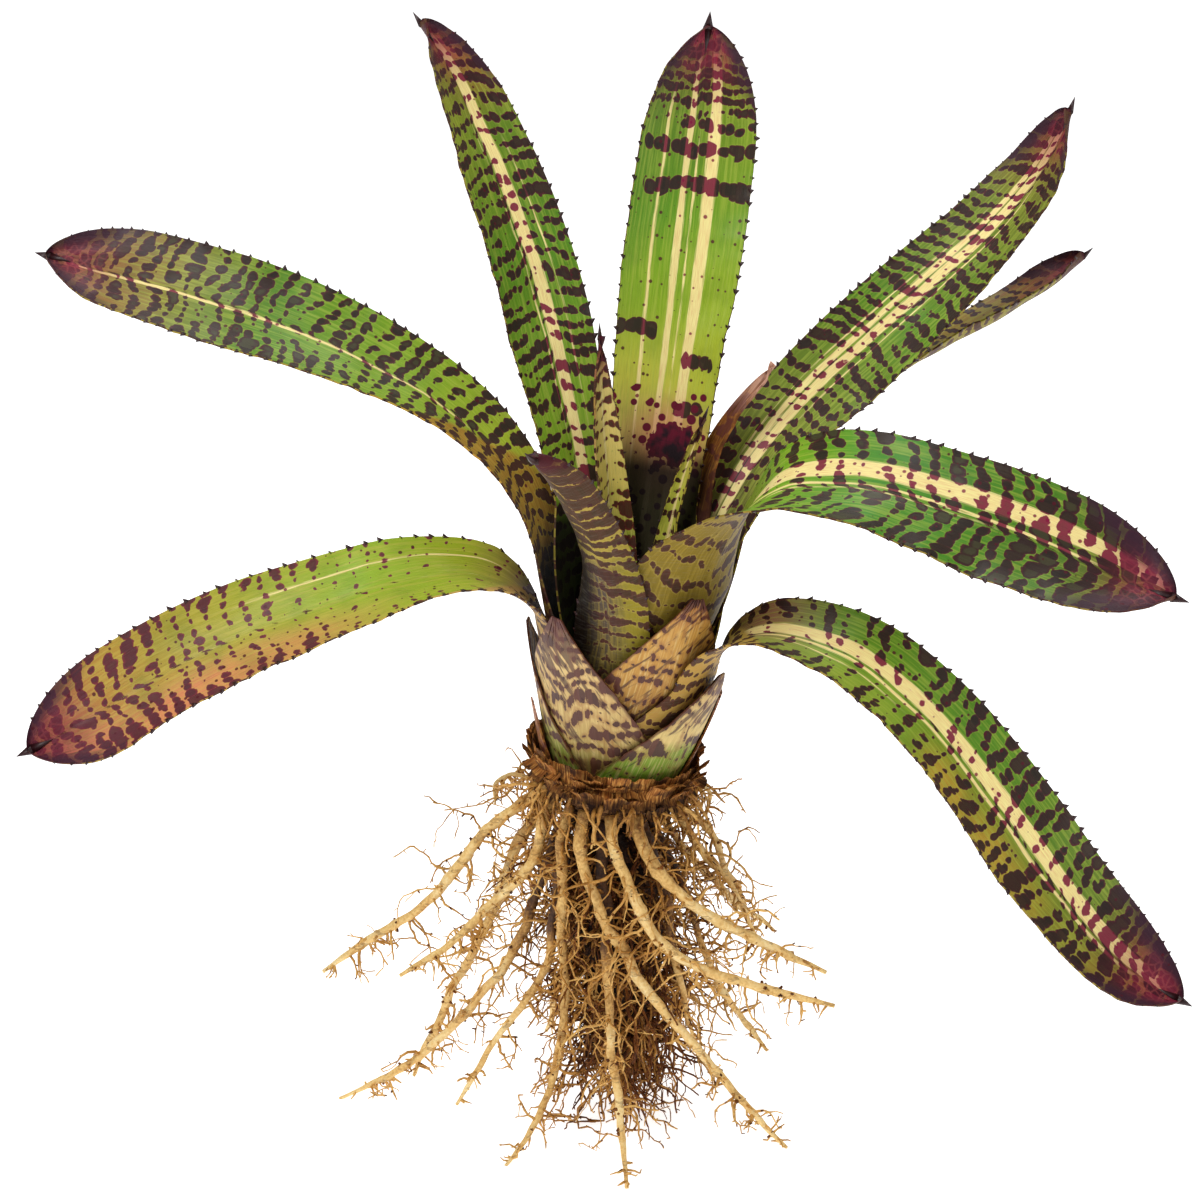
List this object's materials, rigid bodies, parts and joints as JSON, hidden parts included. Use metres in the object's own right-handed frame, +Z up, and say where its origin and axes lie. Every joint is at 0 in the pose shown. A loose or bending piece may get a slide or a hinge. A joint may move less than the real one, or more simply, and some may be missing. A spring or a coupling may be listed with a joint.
{
  "type": "neoregelia bromeliad",
  "caption": "Bare-root rosette bromeliad with arching spined strap leaves, cross-barred and cream-striped, old tan sheaths at its foot, standing on a splayed skirt of wiry roots.",
  "frame": {"origin": "on the ground, under the middle of the plant's bounding box", "axes": "+Z up; +X towards the side that the rosette leans to, to the right of the front view; +Y away from the front"},
  "size_m": [0.4192, 0.217, 0.4064],
  "materials": {
    "leaf_blade": "satin green with dark purple cross bars and cream stripes",
    "inner_leaf": "satin yellow-green with dark purple marks",
    "old_sheath": "dull tan with purple-brown marks, green at the foot",
    "dry_bract": "dry, fibrous orange-brown",
    "papery_collar": "thin torn brown paper-like leaf bases",
    "stem": "dull fibrous",
    "root": "dull wiry tan with darker knots",
    "fine_root": "matted dark brown fibres"
  },
  "bodies": {
    "root": {"leaf_a": "leaf_blade", "leaf_b": "leaf_blade", "leaf_c": "leaf_blade", "leaf_d": "leaf_blade", "leaf_e": "leaf_blade", "leaf_f": "leaf_blade", "leaf_g": "leaf_blade", "leaf_h": "leaf_blade", "leaf_i": "leaf_blade", "inner_leaf_j": "inner_leaf", "inner_leaf_k": "inner_leaf", "sheath_m": "old_sheath", "sheath_n": "old_sheath", "sheath_p": "old_sheath", "sheath_r": "old_sheath", "bract_l": "dry_bract", "dry_bract_q": "dry_bract", "dry_bract_s": "dry_bract", "papery_collar": "papery_collar", "stem": "stem", "root_01": "root", "root_02": "root", "root_03": "root", "root_04": "root", "root_05": "root", "root_06": "root", "root_07": "root", "root_08": "root", "root_09": "root", "root_10": "root", "root_11": "root", "root_12": "root", "root_13": "root", "root_14": "root", "root_15": "root", "root_16": "root", "root_17": "root", "root_18": "root", "root_19": "root", "root_20": "root", "root_21": "root", "fine_roots": "fine_root"}
  },
  "joints": []
}
